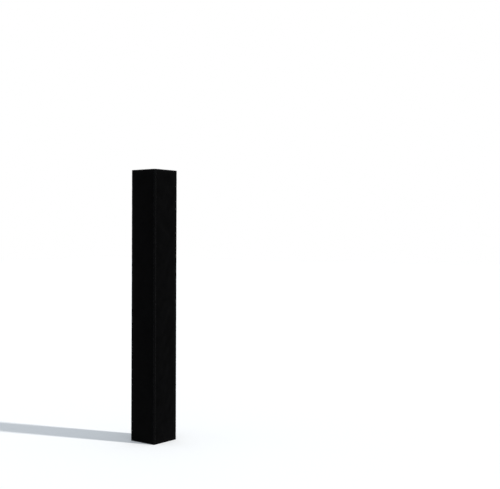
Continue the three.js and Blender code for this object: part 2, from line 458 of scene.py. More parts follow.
vinylNoises = {
    "clouds": (7.0, 6.0, 0.62),
    "mottle": (55.0, 4.0, 0.6),
    "scuffs": (190.0, 6.0, 0.68),
    "fine": (1900.0, 2.0),
    "flecks": (420.0, 3.0, 0.7),
    "patches": (3.1, 4.0, 0.55),
    "swell": (17.0, 2.0, 0.4),
}
# The part of a noise's values that is spread from 0 to 1
vinylRanges = {"clouds": (0.36, 0.66), "scuffs": (0.42, 0.7), "flecks": (0.63, 0.74), "patches": (0.48, 0.7)}
coverFinish = {
    "black": grey(0.001, 1.06),
    "paler": grey(0.0017, 1.06),
    "dust": grey(0.016, 1.04),
    "worn": grey(0.009, 1.05),
    "dustAmount": 0.16,
    "roughness": (0.3, 0.42),
    "wornRoughness": 0.14,  # added where the vinyl is rubbed
    "sockets": {"Specular IOR Level": 0.009},
    "grainCells": 720.0,  # cells of the leather grain to the metre
    "grain": (0.00009, 0.7),
    "scrimPitch": 2.6 * mm,  # threads of the woven backing that shows through the vinyl
    "scrim": (0.00003, 0.8),
    "swell": (0.0006, 1.0),
}
gussetFinish = {
    **coverFinish, "black": grey(0.0014, 1.06), "paler": grey(0.0024, 1.06), "dustAmount": 0.24,
    "roughness": (0.28, 0.4), "swell": (0.0004, 1.0),
}
stripFinish = {**coverFinish, "dustAmount": 0.5, "roughness": (0.45, 0.62)}
flapFinish = {
    **coverFinish, "black": grey(0.0034, 1.05), "paler": grey(0.0064, 1.05), "worn": grey(0.02, 1.04),
    "roughness": (0.42, 0.6), "swell": (0.0008, 1.0),
}


# Coated vinyl: two blacks in soft clouds, flecks of dust, paler rubbed edges from the wear attribute, and
# a bump of leather grain, backing weave and slow swells.
def vinylMaterial(name, finish):
    material, tree = newMaterial(name)
    place = clothPlace(tree)
    fields = {key: noise(tree, place, *setting) for key, setting in vinylNoises.items()}
    shares = {key: ranged(tree, fields[key], *ends) for key, ends in vinylRanges.items()}
    colour = mixed(tree, shares["clouds"], finish["black"], finish["paler"])
    specks = times(tree, shares["flecks"], shares["patches"])
    colour = mixed(tree, times(tree, specks, finish["dustAmount"]), colour, finish["dust"])
    rubbed = times(tree, wornShare(tree), shares["scuffs"])
    colour = mixed(tree, rubbed, colour, finish["worn"])
    rough = ranged(tree, fields["mottle"], 0.3, 0.7, *finish["roughness"])
    rough = plus(tree, rough, times(tree, rubbed, finish["wornRoughness"]))
    creases = cells(tree, place, finish["grainCells"], 0.95, "DISTANCE_TO_EDGE")
    grain = plus(tree, ranged(tree, creases, 0.0, 0.16), times(tree, fields["fine"], 0.35))
    bumps = {"swell": fields["swell"], "scrim": weave(tree, place, finish["scrimPitch"]), "grain": grain}
    return finishMaterial(material, finish, colour, rough, [(bumps[key], *finish[key]) for key in bumps])


# Any other finish: its pattern takes a noise, and gives the bump's height and how far the colour goes from
# the first of two to the second. The same noise sets the roughness.
def patternMaterial(name, pattern, finish):
    material, tree = newMaterial(name)
    place = clothPlace(tree)
    grain = noise(tree, place, *finish["noise"])
    # For lining, foam, thread and pile the share follows the height, so the first colour is painted shade in
    # the hollows.
    height, share = pattern(tree, place, grain, finish)
    rough = ranged(tree, grain, 0.3, 0.7, *finish["roughness"])
    bumps = [(height, *finish["bump"])]
    return finishMaterial(material, finish, mixed(tree, share, *finish["colours"]), rough, bumps)


liningFinish = {
    # The first colour is painted shade for the holes of the weave, the second the threads' own.
    "colours": (grey(0.004, 1.05), grey(0.012, 1.05)),
    "pitch": 0.9 * mm,
    "noise": (90.0, 4.0, 0.6),
    "stain": (4.0, 5.0, 0.6),
    "roughness": (0.7, 0.88),
    "bump": (0.00022, 0.8),
    "sockets": {"Specular IOR Level": 0.12, "Sheen Weight": 0.06, "Sheen Roughness": 0.5},
}


# Woven lining: a plain weave of uneven threads, paler at its crossings, with painted shade in its holes and
# darker stains.
def liningPattern(tree, place, uneven, finish):
    threads = weave(tree, place, finish["pitch"], 0.4)
    height = times(tree, threads, ranged(tree, uneven, 0.25, 0.75, 0.6, 1.0))
    unstained = ranged(tree, noise(tree, place, *finish["stain"]), 0.45, 0.75, 1.0, 0.65)
    return height, times(tree, ranged(tree, height, 0.1, 0.8), unstained)


foamFinish = {
    # The first colour is painted shade in the pores, the second the solid foam's own.
    "colours": (grey(0.008, 1.05), grey(0.035, 1.05)),
    "pores": 900.0,
    "noise": (2400.0, 3.0, 0.6),
    "roughness": (0.85, 0.98),
    "bump": (0.0003, 0.9),
    "sockets": {"Specular IOR Level": 0.1},
}


# Foam: round pores of two sizes cut into a grey solid, with painted shade in the pores.
def foamPattern(tree, place, small, finish):
    pores = ranged(tree, cells(tree, place, finish["pores"]), 0.1, 0.5)
    height = plus(tree, pores, times(tree, small, 0.4))
    return height, ranged(tree, height, 0.2, 1.1)


threadFinish = {
    # The first colour is painted shade for the grooves between the plies, the second the thread's own.
    "colours": (grey(0.009, 1.05), grey(0.035, 1.05)),
    "twist": 0.42 * mm,
    "noise": (2600.0, 2.0),
    "roughness": (0.48, 0.7),
    "bump": (0.00008, 0.8),
    "sockets": {"Specular IOR Level": 0.2},
}


# Sewing thread: slanting plies, as bands on the sum of across and along, with painted shade between the
# plies.
def threadPattern(tree, place, fuzz, finish):
    height = plus(tree, bands(tree, place, finish["twist"], "DIAGONAL"), times(tree, fuzz, 0.4))
    return height, ranged(tree, height, 0.3, 1.1)


loopFinish = {
    # The first colour is painted shade between the tufts and lanes, the second the pile's own.
    "colours": (grey(0.003, 1.05), grey(0.012, 1.05)),
    "tufts": 1500.0,
    "lanePitch": 2.5 * mm,
    "noise": (2550.0, 3.0, 0.65),
    "roughness": (0.85, 0.95),
    "bump": (0.0005, 1.0),
    "sockets": {"Specular IOR Level": 0.15, "Sheen Weight": 0.18, "Sheen Roughness": 0.4},
}
hookFinish = {
    # Again the first colour is painted shade between the hooks' tufts and lanes.
    **loopFinish, "colours": (grey(0.002, 1.05), grey(0.009, 1.05)), "tufts": 1000.0,
    "noise": (1700.0, 3.0, 0.65), "roughness": (0.5, 0.6), "bump": (0.0006, 1.0),
    "sockets": {**loopFinish["sockets"], "Sheen Weight": 0.03},
}


# Hook or loop pile: tufts from cells and finer noise, in lanes, with painted shade between them.
def pilePattern(tree, place, curls, finish):
    tufts = ranged(tree, cells(tree, place, finish["tufts"]), 0.6, 0.05)
    height = plus(tree, tufts, times(tree, curls, 0.6))
    lanes = ranged(tree, bands(tree, place, finish["lanePitch"], "X"), 0.0, 1.0, 0.7, 1.0)
    return height, times(tree, ranged(tree, height, 0.3, 1.4), lanes)


ventFinish = {
    "colours": (grey(0.03, 1.04), grey(0.28, 1.02)),
    "turningPitch": 0.35 * mm,
    "noise": (700.0, 5.0, 0.6),
    "roughness": (0.24, 0.46),
    "bump": (0.00004, 0.6),
    "sockets": {"Metallic": 1.0},
}


# Blackened metal: dark where the coat holds, bare on the rubbed lip, with fine turning marks.
def ventPattern(tree, place, tarnish, finish):
    marks = bands(tree, place, finish["turningPitch"], "X", 1.5)
    height = plus(tree, marks, times(tree, tarnish, 1.4))
    return height, times(tree, wornShare(tree), ranged(tree, tarnish, 0.4, 0.62))


coverVinyl = vinylMaterial("cover_vinyl", coverFinish)
gussetVinyl = vinylMaterial("gusset_vinyl", gussetFinish)
stripVinyl = vinylMaterial("strip_vinyl", stripFinish)
flapVinyl = vinylMaterial("flap_vinyl", flapFinish)
wovenLining = patternMaterial("woven_lining", liningPattern, liningFinish)
padFoam = patternMaterial("pad_foam", foamPattern, foamFinish)
sewingThread = patternMaterial("sewing_thread", threadPattern, threadFinish)
loopPile = patternMaterial("loop_pile", pilePattern, loopFinish)
hookPile = patternMaterial("hook_pile", pilePattern, hookFinish)
ventMetal = patternMaterial("vent_metal", ventPattern, ventFinish)
print("materials made")

# The covers' rumples, from cloth that is pinned along its seams and blown out from behind

clothSetup = {
    "step": 8 * mm,  # between the sheet's columns, and between its rows
    "frames": 30,
    "startWaves": 0.4 * mm,
    "startLengths": (0.05, 0.22),
    "smoothRows": 31,  # rows in the running mean that is taken away
    "standInLengths": (0.08, 0.3),
    "settings": {
        "quality": 6,
        "mass": 0.05,
        "use_pressure": True,
        "uniform_pressure_force": 0.5,
        "vertex_group_mass": "pinned",
        "shrink_min": -0.006,  # the cloth is larger than its frame by this share
        "bending_stiffness": 0.2,
        "tension_stiffness": 40.0,
        "compression_stiffness": 40.0,
        "shear_stiffness": 40.0 / 3,
    },
}


# The columns and rows of a panel's cover sheet, whose sides are fold seams at the cover's edge or a free
# edge near the centre.
def coverGrid(panel, step):
    low = -coverEdge if -1 in panel["folds"] else freeEdge
    high = coverEdge if 1 in panel["folds"] else -freeEdge
    return [np.linspace(a, b, round((b - a) / step) + 1) for a, b in ((low, high), (0, padHeight))]


# A flat sheet in x and z with faint waves, whose border is in the vertex group that Cloth pins.
def pinnedSheet(name, panel, setup):
    xs, zs = coverGrid(panel, setup["step"])
    y = softNoise(xs, zs[:, None], panel["seed"], *setup["startLengths"]) * setup["startWaves"]
    index = numbered(y)
    sheet = newPiece(f"{name}_cloth", gridPoints(xs, y, zs[:, None]), [gridQuads(index)], [])
    border = np.setdiff1d(index, index[1:-1, 1:-1])
    sheet.vertex_groups.new(name="pinned").add(border.tolist(), 1.0, "REPLACE")
    cloth = sheet.modifiers.new("cloth", "CLOTH")
    setAll(cloth.settings, setup["settings"])
    cloth.settings.effector_weights.gravity = 0
    cloth.collision_settings.use_collision = False
    return sheet, xs, zs


# A field less its running mean along the rows, so that only the rumples stay.
def withoutSwell(field, rows):
    half = rows // 2
    padded = np.pad(field, ((half + 1, half), (0, 0)), mode="edge")
    total = np.cumsum(padded, axis=0)
    return field - (total[rows:] - total[:-rows]) / rows


# All covers step through the same frames, and each gives x, z and its outward rumple in metres.
def simulateCovers(setup):
    sheets = {name: pinnedSheet(name, panel, setup) for name, panel in panels.items()}
    for step in range(1, setup["frames"] + 1):
        bpy.context.scene.frame_set(step)
    depsgraph = bpy.context.evaluated_depsgraph_get()
    rumples = {}
    for name, (sheet, xs, zs) in sheets.items():
        blown = meshPoints(sheet.evaluated_get(depsgraph).data).reshape(len(zs), len(xs), 3)
        rumples[name] = (xs, zs, withoutSwell(-blown[..., 1], setup["smoothRows"]))
    for sheet, _, _ in sheets.values():
        bpy.data.meshes.remove(sheet.data)  # its object goes with it
    bpy.context.scene.frame_set(1)
    return rumples


rumples = simulateCovers(clothSetup)
print("cover rumples ready", {name: float(field.std().round(6)) for name, (_, _, field) in rumples.items()})


# A field on a grid read at other places, by the share between its neighbours. Places past the border read
# its last cell.
def readGrid(xs, zs, field, x, z):
    column = np.clip((x - xs[0]) / (xs[1] - xs[0]), 0, len(xs) - 1.001)
    row = np.clip((z - zs[0]) / (zs[1] - zs[0]), 0, len(zs) - 1.001)
    left, below = column.astype(int), row.astype(int)
    lower = between(field[below, left], field[below, left + 1], column - left)
    upper = between(field[below + 1, left], field[below + 1, left + 1], column - left)
    return between(lower, upper, row - below)


# Padded panels

padShape = {
    "rowStep": 8.5 * mm,
    "columns": {2: 37, 1: 21},  # by the number of folds
    "laps": np.array([0, 3.4, 6.8, 9.3]) * mm,  # columns under a gusset, from the fold inwards
    "easing": np.array([0.75, 0.45, 0.2]),  # how far the first side rows still follow the face's rim
    "backRim": (2.2 * mm, 6 * mm),  # first and last of the rows near an end, on the back
    "backMargin": 7 * mm,
    "seamPull": 11 * mm,  # width over which the cover rises from under a gusset
    "tuck": 0.97,  # share of the skin's depth by which it lies lower there
    "flapMargin": 4 * mm,  # flat strip beside the closure
    "rumpleGain": 0.45,
    "rumpleCap": 1.3 * mm,
    "rumpleFade": (0.06, 0.03),  # from the ends and from the folds
    "pucker": 0.28 * mm,  # small pulls beside the stitching
    "puckerReach": 7 * mm,
    "puckerLength": 26 * mm,
    "rearCrown": 1.5 * mm,
    "ventCalm": 26 * mm,  # width round a vent over which the cover comes to lie flat
    "wearReach": 14 * mm,
}

ventCentre = ((ventBox[0].x + ventBox[1].x) / 2, (ventBox[0].z + ventBox[1].z) / 2)
ventX = abs(ventCentre[0])
ventHeights = (ventCentre[1], padHeight - ventCentre[1])
ventReach = 9 * mm  # the flat round each vent
rimRadius = 3 * mm
# Rows of a rim as height from the end and inset: the groove behind the lip, then a sixth of a circle
rimAngles = np.radians([60, 48, 34, 18, 0])
rimHeights = np.concatenate([[2.2 * mm, 1.4 * mm], rimRadius * (1 - np.sin(rimAngles))])
rimInsets = np.concatenate([[2.8 * mm, 2.2 * mm], rimRadius * (1 - np.cos(rimAngles))])


# Rows up the pad: the rim's own from the bottom, even steps, and the rim's again at the top.
def rimmedRows(rim, step):
    middle = np.linspace(rimRadius, padHeight - rimRadius, round(padHeight / step))[1:-1]
    return np.concatenate([rim, middle, padHeight - rim[::-1]])


# The inset of sheets that follow the rim at height z: the rim's circle, at most half its radius.
def rimInset(z):
    share = np.clip(1 - fromEnds(z) / rimRadius, 0, 0.866)
    return rimRadius * (1 - np.sqrt(1 - share**2))


# A mitred edge in x and depth, from this far under the outer face to the back: an arc about the corner's
# own centre until it is one wall from the fold plane, then straight along the fold.
def foldSide(wall, fromDepth, toDepth, arcCount=6, sideCount=5):
    radius = cornerRadius - fromDepth
    centre = halfOuter - cornerRadius
    angle = np.linspace(0, math.acos(wall / radius) - math.pi / 4, arcCount)
    arc = gridPoints(centre + radius * np.sin(angle), cornerRadius - radius * np.cos(angle))
    depth = np.linspace(arc[-1, 1], toDepth, sideCount + 1)[1:]
    return np.concatenate([arc, gridPoints(halfOuter - depth - wall * math.sqrt(2), depth)])


# The cover's lip round a free edge: how far in from the edge, and the depth. Then the side runs to the back.
freeLip = np.array([(2.4, 0.0), (1.3, 0.04), (0.55, 0.22), (0.15, 0.55), (0.3, 0.88), (1.2, 1.0)]) * mm


# A square edge in x and depth: the lip goes round it, then in behind the lining's side.
def freeSide(edge, toDepth, sideCount=5):
    lip = np.array([edge, 0]) + freeLip * (-1, 1)
    depth = np.linspace(lip[-1, 1], toDepth, sideCount + 1)[1:]
    return np.concatenate([lip, gridPoints(lip[-1, 0], depth)])


# How proud the cover stands of the outer plane: the crown, the rumples and the puckers, less the pull
# under each gusset. The crown is 1 less a fourth power across, and falls as a parabola to each end.
def coverRise(name, x, z):
    folds, seed = panels[name]["folds"], panels[name]["seed"]
    toFold = np.min([coverEdge - side * x for side in folds], axis=0)
    seam = smooth(toFold / padShape["seamPull"])
    if len(folds) == 2:
        swell = crownHeight * (1 - np.clip(np.abs(x) / coverEdge, 0, 1) ** 4)
        calm = 1
    else:
        inner = (abs(hemBox[0].x) if name == "rear_left" else flapBox[1].x) + padShape["flapMargin"]
        across = np.clip((np.abs(x) - inner) / (coverEdge - inner), 0, 1)
        vents = [np.hypot(np.abs(x) - ventX, z - height) for height in ventHeights]
        calm = smooth((np.min(vents, axis=0) - ventReach) / padShape["ventCalm"]) * smooth(across * 3)
        swell = padShape["rearCrown"] * (1 - (2 * across - 1) ** 4)
    swell = swell * (1 - (1 - np.clip(fromEnds(z) / crownFade, 0, 1)) ** 2)
    rumple = readGrid(*rumples[name], x, z) * padShape["rumpleGain"]
    rumple = np.clip(rumple, -padShape["rumpleCap"], padShape["rumpleCap"])
    endFade, foldFade = padShape["rumpleFade"]
    rumple = rumple * smooth(fromEnds(z) / endFade) * smooth(toFold / foldFade)
    length = padShape["puckerLength"]
    pulls = softNoise(np.zeros_like(z), z, seed + 1, length * 0.6, length * 1.8) * padShape["pucker"]
    pulls = pulls * fading(toFold, padShape["puckerReach"]) * smooth(toFold / (3 * mm))
    return (swell + rumple + pulls) * calm * seam - skinDepth * padShape["tuck"] * (1 - seam)


# Wear on a panel's face: strongest on the top and bottom rims, then beside the seams and near the foot.
def padWear(local):
    x, depth, z = local.T
    rim = fading(fromEnds(z), padShape["wearReach"])
    seam = 0.3 * fading(np.abs(coverEdge - 6 * mm - np.abs(x)), 6 * mm)
    return np.clip(np.maximum(rim, seam) + 0.3 * fading(z, 0.12), 0, 1) * (depth < 4 * mm)


# A panel's side in x and depth from the face to the back, and the face's columns that lie under a gusset.
def panelSide(folds, side):
    if side not in folds:
        return freeSide(-freeEdge, foamBackDepth) * (side, 1), []
    points = foldSide(fillWall, skinDepth, foamBackDepth) * (side, 1)
    return points, (points[0, 0] - side * padShape["laps"])[::-side]


# A closed padded form: loops of a section stacked up the rows, with a patch over each end. A section runs
# over the front, the high side, the back and the low side.
def paddedForm(name, folds):
    (low, lowLaps), (high, highLaps) = (panelSide(folds, side) for side in (-1, 1))
    ends = [side * coverEdge if side in folds else edge[0, 0] for side, edge in ((-1, low), (1, high))]
    faceX = np.concatenate([lowLaps, closerAtEnds(*ends, padShape["columns"][len(folds)]), highLaps])
    backX = np.linspace(high[-1, 0], low[-1, 0], len(faceX))
    parts = [gridPoints(faceX, 0.0), high[1:-1], gridPoints(backX, foamBackDepth), low[1:-1][::-1]]
    section = np.concatenate(parts)
    front, side, back = np.cumsum([len(part) for part in parts[:3]])
    inward = -squareTo(np.roll(section, -1, 0) - np.roll(section, 1, 0))
    lip = np.zeros(len(section))  # how far each column follows the face's rim
    easing = padShape["easing"]
    lip[:front], lip[front : front + len(easing)], lip[-len(easing) :] = 1, easing, easing[::-1]
    faceRows = rimmedRows(rimHeights, padShape["rowStep"])
    inner = len(faceRows) - 2 * len(rimHeights)
    inset = np.concatenate([rimInsets, np.zeros(inner), rimInsets[::-1]])
    margin = padShape["backMargin"]
    endRows = np.linspace(*padShape["backRim"], len(rimHeights))
    middle = np.linspace(margin, padHeight - margin, inner)
    backRows = np.concatenate([endRows, middle, padHeight - endRows[::-1]])
    z = between(backRows[:, None], faceRows[:, None], lip)
    x, depth = section.T[:, None] + inward.T[:, None] * np.outer(inset, lip)
    depth[:, :front] -= coverRise(name, x[:, :front], z[:, :front])
    loops = gridPoints(x, depth, z)
    index = numbered(loops)
    points, faces = [loops.reshape(-1, 3)], [gridQuads(closedRound(index))]
    start = z.size

    # A ring's front and back edges from low x, and its low and high sides from the front
    def edges(ring):
        face, rear = ring[:front], ring[side:back][::-1]
        lowSide = np.concatenate([face[:1], ring[back:][::-1], rear[:1]])
        return face, rear, lowSide, np.concatenate([face[-1:], ring[front:side], rear[-1:]])

    for row, way in ((-1, 1), (0, -1)):
        patch = fillPatch(*edges(loops[row]))[1:-1, 1:-1]
        face, rear, lowSide, highSide = edges(index[row])
        cap = np.empty((len(lowSide), len(face)), int)
        cap[0], cap[-1], cap[:, 0], cap[:, -1] = face, rear, lowSide, highSide
        cap[1:-1, 1:-1] = numbered(patch, start)
        start += patch.size // 3
        points.append(patch.reshape(-1, 3))
        faces.append(gridQuads(cap[:, ::way]))
    return np.concatenate(points), faces


# Rings about a vent's axis, from pairs of radius and depth.
def ventRings(profile, side, height, count=40):
    angle = np.linspace(0, 2 * np.pi, count, endpoint=False)
    radius = profile[:, :1]
    return gridPoints(side * ventX + radius * np.cos(angle), profile[:, 1:], height + radius * np.sin(angle))


# A narrow bore through the cover and a wider pocket in the foam behind it, as radius and depth
boreProfile = np.array([(5.1, -3.0), (5.1, 0.95), (9.0, 1.0), (9.0, 2.9)]) * mm


# Cuts the vents' holes in a rear half.
def cutVents(piece, turns, side):
    for height in ventHeights:
        poles = [(side * ventX, depth, height) for depth in boreProfile[[0, -1], 1]]
        points, faces = cappedRings(ventRings(boreProfile, side, height), poles)
        cutter = newPiece("cutter", placed(points, turns), [group[:, ::-1] for group in faces], [padFoam])
        cut = piece.modifiers.new("vent", "BOOLEAN")
        setAll(cut, {"solver": "EXACT", "material_mode": "TRANSFER", "object": cutter})
        bpy.context.view_layer.update()
        depsgraph = bpy.context.evaluated_depsgraph_get()
        mesh = bpy.data.meshes.new_from_object(piece.evaluated_get(depsgraph))
        piece.modifiers.clear()
        old, piece.data = piece.data, mesh
        bpy.data.meshes.remove(old)
        bpy.data.meshes.remove(cutter.data)
    piece.data.name = piece.name


def addPad(name, turns, folds):
    points, faces = paddedForm(name, folds)
    piece = newPiece(f"{name}_pad", placed(points, turns), faces, [coverVinyl, padFoam], 50)
    if len(folds) == 1:
        cutVents(piece, turns, folds[0])
    local = turned(meshPoints(piece.data), -turns) + toFace
    setSurface(piece, local, padWear(local))
    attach(piece, f"{name}_panel")
    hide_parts(f"{name}_foam", f"{name}_cover")


# Linings

liningShape = {
    "rowStep": 17 * mm,
    "backColumns": 27,
    "slack": 0.16 * mm,
    "slackLengths": (0.05, 0.2),
    "slackStart": 0.97,  # share of the depth past which the lining is slack
    "outerCorner": 1.3 * mm,
    "innerCorner": 0.9 * mm,
    "rim": np.array([0.0, 0.5, 1.2, 2.0, 3.0]) * mm,
}


# One side of a tray from its tip, in x and depth: straight to near the corner, then a small bend into the
# back, which is a quadratic curve about the sharp corner.
def traySide(side, folded, inset, toDepth, bend):
    if folded:
        wall = inset + foldWall
        radius = cornerRadius - skinDepth
        along, across = math.sqrt((radius**2 - wall**2) / 2), wall / math.sqrt(2)
        tip = np.array([halfOuter - cornerRadius + along - across, cornerRadius - along - across])
        corner = np.array([halfOuter - toDepth - wall * math.sqrt(2), toDepth])
    else:
        tip = np.array([-freeEdge - inset, skinDepth])
        corner = np.array([-freeEdge - inset, toDepth])
    down = (corner - tip) / np.linalg.norm(corner - tip)
    before, after = corner - down * bend, corner - np.array([bend, 0])
    straight = between(tip, before, np.linspace(0, 1, 6)[:, None])
    t = np.linspace(0, 1, 5)[1:, None]
    curve = between(between(before, corner, t), between(corner, after, t), t)
    return np.concatenate([straight, curve]) * (side, 1)


# The tray's whole path from the low tip over the back to the high tip.
def trayPath(folds, inset, toDepth, bend):
    low, high = (traySide(side, side in folds, inset, toDepth, bend) for side in (-1, 1))
    t = np.linspace(0, 1, liningShape["backColumns"])[1:-1, None]
    return np.concatenate([low, between(low[-1], high[-1], t), high[::-1]])


# A lining is a thin tray: its tips follow the rim's inset, and its back has a little slack towards the foam.
def addLining(name, turns, folds, seed):
    post = trayPath(folds, 0.0, backDepth, liningShape["outerCorner"])
    foam = trayPath(folds, liningThickness, backDepth - liningThickness, liningShape["innerCorner"])
    rows = rimmedRows(liningShape["rim"], liningShape["rowStep"])[:, None]
    shift = rimInset(rows) * np.clip(1 - post[:, 1] / backDepth, 0, 1)
    start = liningShape["slackStart"]
    onBack = smooth((post[:, 1] / backDepth - start) / (1 - start))
    slack = softNoise(post[:, 0], rows, seed + 5, *liningShape["slackLengths"]) * 0.5 + 0.5
    slack = np.clip(slack, 0, 1.4) * liningShape["slack"] * onBack
    sides = []
    for x, depth in (foam.T, post.T):
        folded = np.isin(np.where(x > x.mean(), 1, -1), folds)
        sides.append((x - shift * folded * np.sign(x), depth + shift - slack, rows))
    along = pathLength(post)
    wear = fading(fromEnds(rows), 0.01)
    piece = thinSheet(f"{name}_woven_lining", turns, sides, wovenLining, along, rows, wear)
    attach(piece, f"{name}_panel")
    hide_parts(f"{name}_lining")


# End strips

stripShape = {
    "columns": 41,
    "rows": 15,
    "frontDepth": 2.2 * mm,
    "edgeDrop": 0.9 * mm,
    "crowding": 1.4,  # power that draws the rows towards the lip
    "dome": 1.7 * mm,
    "ripple": 0.18 * mm,
    "rippleLengths": (0.03, 0.09),
    "flattening": 1.6,  # of the bottom strips, which come to lie on the floor
}


# A strip's flat patch in x and depth, between the cover's lip and the lining: straight across from one
# side to the other at each depth, with its columns closer together near both.
def stripPatch(folds):
    front, back = stripShape["frontDepth"], foamBackDepth
    depth = between(front, back, np.linspace(0, 1, stripShape["rows"]) ** stripShape["crowding"])
    curve = foldSide(fillWall, front, back, 24, 24)
    foldReach = np.interp(depth, curve[:, 1], curve[:, 0])
    freeReach = np.full_like(depth, -freeEdge - freeLip[-1, 0])
    low, high = (side * (foldReach if side in folds else freeReach) for side in (-1, 1))
    x = between(low[:, None], high[:, None], closerAtEnds(0, 1, stripShape["columns"]))
    return x, np.broadcast_to(depth[:, None], x.shape)


# A strip rises from its sewn edges to a low dome: 1 less a 14th power along, times 1 less a cube across.
def addStrip(name, end, turns, folds, seed):
    x, depth = stripPatch(folds)
    u = closerAtEnds(-1, 1, x.shape[1])
    v = np.linspace(-1, 1, x.shape[0])[:, None]
    dome = (1 - np.abs(u) ** 14) * (1 - np.abs(v) ** 3)
    if end == "top":
        ripple = softNoise(x, depth * 3, seed + 7, *stripShape["rippleLengths"]) * stripShape["ripple"]
        outer = padHeight - stripShape["edgeDrop"] + dome * (stripShape["dome"] + ripple)
        heights = outer, outer - vinyl
    else:
        outer = np.maximum(stripShape["edgeDrop"] * (1 - dome * stripShape["flattening"]), 0.0)
        heights = outer + vinyl, outer
    sides = [(x, depth, z) for z in heights]
    wear = np.clip(0.25 + 0.75 * (1 - dome), 0, 1)
    piece = thinSheet(f"{name}_{end}_strip", turns, sides, stripVinyl, x, depth, wear)
    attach(piece, f"{name}_panel")
    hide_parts(f"{name}_{end}_end")


for panelName, facts in panels.items():
    addPad(panelName, facts["turns"], facts["folds"])
    addLining(panelName, **facts)
    addStrip(panelName, "top", **facts)
    addStrip(panelName, "bottom", **facts)
print("padded panels, linings and end strips made")

# Corner gussets

gussetShape = {
    "rowStep": 9 * mm,
    "legSteps": np.array([0.0, 0.8, 1.8, 2.6, 3.3, 4.2, 5.6, 7.6]) * mm,  # from a leg's edge
    "stitchLine": 3.0 * mm,  # from the leg's edge
    "stitchPull": (0.22 * mm, 1.3 * mm),  # depth and reach
    "edgeLift": (0.12 * mm, 1.2 * mm),  # height and reach
    "arcColumns": 9,
    "creases": 0.22 * mm,
    "creaseCap": 0.3 * mm,
    "creaseLengths": (0.018, 0.07),
    "creaseReach": 6 * mm,  # from the middle of the fold
}
gussets = {
    "front_left": {"turns": 0, "side": -1, "bodies": ("front_panel", "left_panel"), "seed": 71},
    "front_right": {"turns": 0, "side": 1, "bodies": ("front_panel", "right_panel"), "seed": 73},
    "rear_left": {"turns": 2, "side": 1, "bodies": ("left_panel", "rear_left_panel"), "seed": 79},
    "rear_right": {"turns": 2, "side": -1, "bodies": ("right_panel", "rear_right_panel"), "seed": 83},
}


# A gusset's path in x and depth: along one leg from its edge, round the corner, and along the other leg.
def gussetPath():
    centre = halfOuter - cornerRadius
    legX = np.append(halfOuter - legWidth + gussetShape["legSteps"], centre)
    angle = np.linspace(0, np.pi / 2, gussetShape["arcColumns"])[1:]
    arc = gridPoints(centre + cornerRadius * np.sin(angle), cornerRadius * (1 - np.cos(angle)))
    return np.concatenate([gridPoints(legX, 0.0), arc, gridPoints(halfOuter, halfOuter - legX[-2::-1])])


# A gusset is pulled in along its stitches, lifts a little at its edges, and has faint creases across the
# fold.
def addGusset(name, turns, side, bodies, seed):
    path = gussetPath()
    along = pathLength(path)
    rows = rimmedRows(rimHeights[2:], gussetShape["rowStep"])[:, None]
    fromEdge = np.minimum(along, along[-1] - along)
    pullDepth, pullReach = gussetShape["stitchPull"]
    pull = bell(fromEdge - gussetShape["stitchLine"], pullReach) * pullDepth
    liftHeight, liftReach = gussetShape["edgeLift"]
    lift = fading(fromEdge, liftReach) * liftHeight
    fold = bell(along - along[-1] / 2, gussetShape["creaseReach"])
    creases = gussetShape["creases"]
    crease = softNoise(along * 0.5, rows, seed, *gussetShape["creaseLengths"]) * creases * fold
    rise = lift - pull + np.clip(crease, -2 * creases, gussetShape["creaseCap"]) - rimInset(rows)
    outward = squareTo(np.gradient(path, axis=0))
    wear = 0.2 + 0.4 * fold + fading(fromEnds(rows), 0.02) + 0.3 * fading(fromEdge, 1.5 * mm)
    wear = np.clip(wear, 0, 1)
    sides = []
    for proud in (rise, rise - vinyl)[::side]:
        x, depth = path.T[:, None] + outward.T[:, None] * proud
        sides.append((side * x, depth, rows))
    piece = thinSheet(f"{name}_corner_fold", turns, sides, gussetVinyl, along, rows, wear)
    ends = np.array([(side * (halfOuter - cornerRadius), 0.0, 0.0), (side * halfOuter, cornerRadius, 0.0)])
    start, end = placed(ends, turns).tolist()
    if name.startswith("rear"):
        start, end = end, start
    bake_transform(piece)
    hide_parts(f"{name}_gusset")


for gussetName, gussetFacts in gussets.items():
    addGusset(gussetName, **gussetFacts)
print("corner gussets made")

# The closure: flap, hook tape and loop tape, drawn on the rear with x the other way round

flapShape = {
    "rowStep": 10 * mm,
    "hemReturn": 6.6 * mm,  # the free edge is turned in by this much
    "turnRadius": 0.5 * mm,
    "waves": 0.45 * mm,
    "waveLengths": (0.09, 0.33),
    "waveLimits": (-0.5 * mm, 0.15 * mm),
    "rampWaves": 0.6 * mm,
    "rampLengths": (0.06, 0.26),
    "rampReach": 9 * mm,  # of those waves, from the ramp's top
    "stitchPull": (0.2 * mm, 1.4 * mm),  # depth and reach
    "groove": 1.6 * mm,  # half the width of the columns over a line of stitches
    "bend": (17.0 * mm, 12.5 * mm),  # where the flap starts and ends bending when it is peeled; the flap is built closed
}
hemEnd = -hemBox[0].x
foldStart = -hemBox[1].x
foldEnd = -flapBox[0].x
flapEdge = -flapBox[1].x
flapFace = halfOuter - flapBox[1].y  # the flap's outer face, as a depth
hemFace = halfOuter - hemBox[1].y
hookInner, hookOuter = -hookBox[1].x, -hookBox[0].x
flapStitches = (hookInner + 3 * mm, hookOuter - 3 * mm, flapEdge + 4.2 * mm)
hemStitches = (foldStart + 3.5 * mm, hemEnd - 3.5 * mm)
rampTop = hookOuter + 8 * mm


